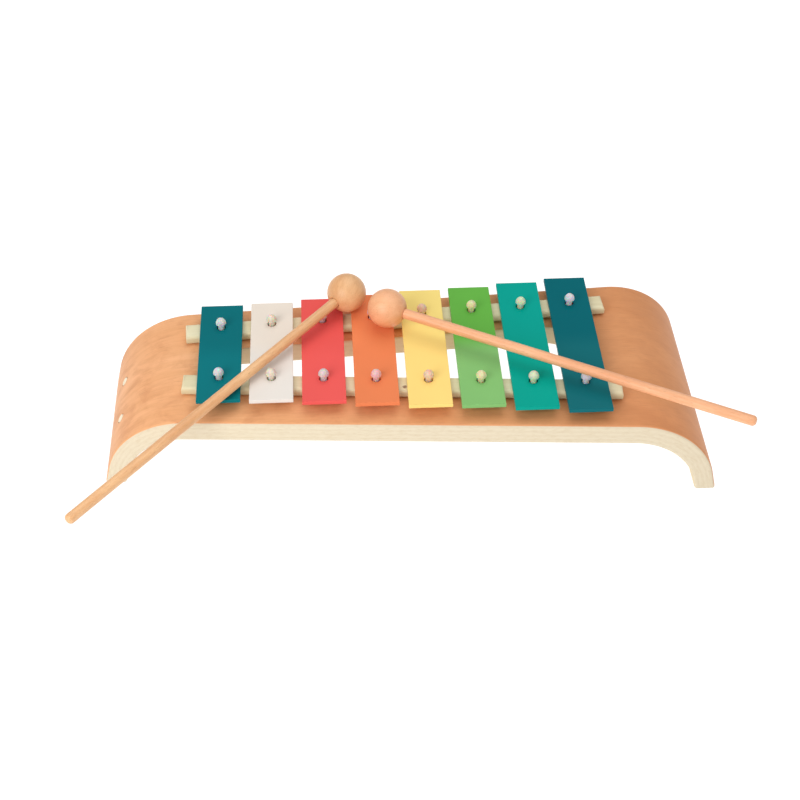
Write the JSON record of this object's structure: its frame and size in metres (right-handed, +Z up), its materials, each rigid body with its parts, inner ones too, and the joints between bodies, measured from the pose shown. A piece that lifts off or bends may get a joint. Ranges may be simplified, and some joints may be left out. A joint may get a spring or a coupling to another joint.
{
  "type": "glockenspiel",
  "caption": "Toy glockenspiel: bent-plywood bridge with a slotted top, tuned painted metal bars held loosely by clear pins on rails, and wooden mallets lying on the bars.",
  "frame": {"origin": "bottom centre of the whole object's box, mallets included, on the surface that the feet stand on", "axes": "+X along the row of bars from the short high notes to the long low notes, +Y away from the player, +Z up"},
  "size_m": [0.361, 0.185, 0.0799],
  "materials": {
    "veneer": "clear satin varnish on a warm brown face veneer, pale ply at the edges",
    "rail_wood": "bare sanded pale wood",
    "plug_wood": "sanded birch end grain",
    "screw_steel": "zinc plated",
    "pin_plastic": "translucent white moulded plastic",
    "mallet_wood": "clear satin varnish",
    "teal_paint": "satin enamel on steel",
    "cream_paint": "satin enamel on steel",
    "red_paint": "satin enamel on steel",
    "orange_paint": "satin enamel on steel",
    "yellow_paint": "satin enamel on steel",
    "green_paint": "satin enamel on steel",
    "turquoise_paint": "satin enamel on steel",
    "petrol_paint": "satin enamel on steel"
  },
  "bodies": {
    "frame": {"bridge": "veneer", "front_rail": "rail_wood", "rear_rail": "rail_wood", "leg_plug_front": "plug_wood", "leg_plug_rear": "plug_wood", "rail_screw_front_left": "screw_steel", "rail_screw_front_right": "screw_steel", "rail_screw_rear_left": "screw_steel", "rail_screw_rear_right": "screw_steel", "pin_1_front": "pin_plastic", "pin_2_front": "pin_plastic", "pin_3_front": "pin_plastic", "pin_4_front": "pin_plastic", "pin_5_front": "pin_plastic", "pin_6_front": "pin_plastic", "pin_7_front": "pin_plastic", "pin_8_front": "pin_plastic", "pin_1_rear": "pin_plastic", "pin_2_rear": "pin_plastic", "pin_3_rear": "pin_plastic", "pin_4_rear": "pin_plastic", "pin_5_rear": "pin_plastic", "pin_6_rear": "pin_plastic", "pin_7_rear": "pin_plastic", "pin_8_rear": "pin_plastic"},
    "bar_1": {"bar_1": "teal_paint"},
    "bar_2": {"bar_2": "cream_paint"},
    "bar_3": {"bar_3": "red_paint"},
    "bar_4": {"bar_4": "orange_paint"},
    "bar_5": {"bar_5": "yellow_paint"},
    "bar_6": {"bar_6": "green_paint"},
    "bar_7": {"bar_7": "turquoise_paint"},
    "bar_8": {"bar_8": "petrol_paint"},
    "mallet_left": {"mallet_left_ball": "mallet_wood", "mallet_left_stick": "mallet_wood"},
    "mallet_right": {"mallet_right_ball": "mallet_wood", "mallet_right_stick": "mallet_wood"}
  },
  "joints": [
    {"name": "bar_1_play", "type": "slide", "parent": "frame", "child": "bar_1", "axis": [0, 1, 0], "range_m": [-0.0006, 0.0006]},
    {"name": "bar_2_play", "type": "slide", "parent": "frame", "child": "bar_2", "axis": [0, 1, 0], "range_m": [-0.0006, 0.0006]},
    {"name": "bar_3_play", "type": "slide", "parent": "frame", "child": "bar_3", "axis": [0, 1, 0], "range_m": [-0.0006, 0.0006]},
    {"name": "bar_4_play", "type": "slide", "parent": "frame", "child": "bar_4", "axis": [0, 1, 0], "range_m": [-0.0006, 0.0006]},
    {"name": "bar_5_play", "type": "slide", "parent": "frame", "child": "bar_5", "axis": [0, 1, 0], "range_m": [-0.0006, 0.0006]},
    {"name": "bar_6_play", "type": "slide", "parent": "frame", "child": "bar_6", "axis": [0, 1, 0], "range_m": [-0.0006, 0.0006]},
    {"name": "bar_7_play", "type": "slide", "parent": "frame", "child": "bar_7", "axis": [0, 1, 0], "range_m": [-0.0006, 0.0006]},
    {"name": "bar_8_play", "type": "slide", "parent": "frame", "child": "bar_8", "axis": [0, 1, 0], "range_m": [-0.0006, 0.0006]},
    {"name": "mallet_left_lift", "type": "slide", "parent": "frame", "child": "mallet_left", "axis": [0, 0, 1], "range_m": [0, 0.12]},
    {"name": "mallet_right_lift", "type": "slide", "parent": "frame", "child": "mallet_right", "axis": [0, 0, 1], "range_m": [0, 0.12]}
  ]
}
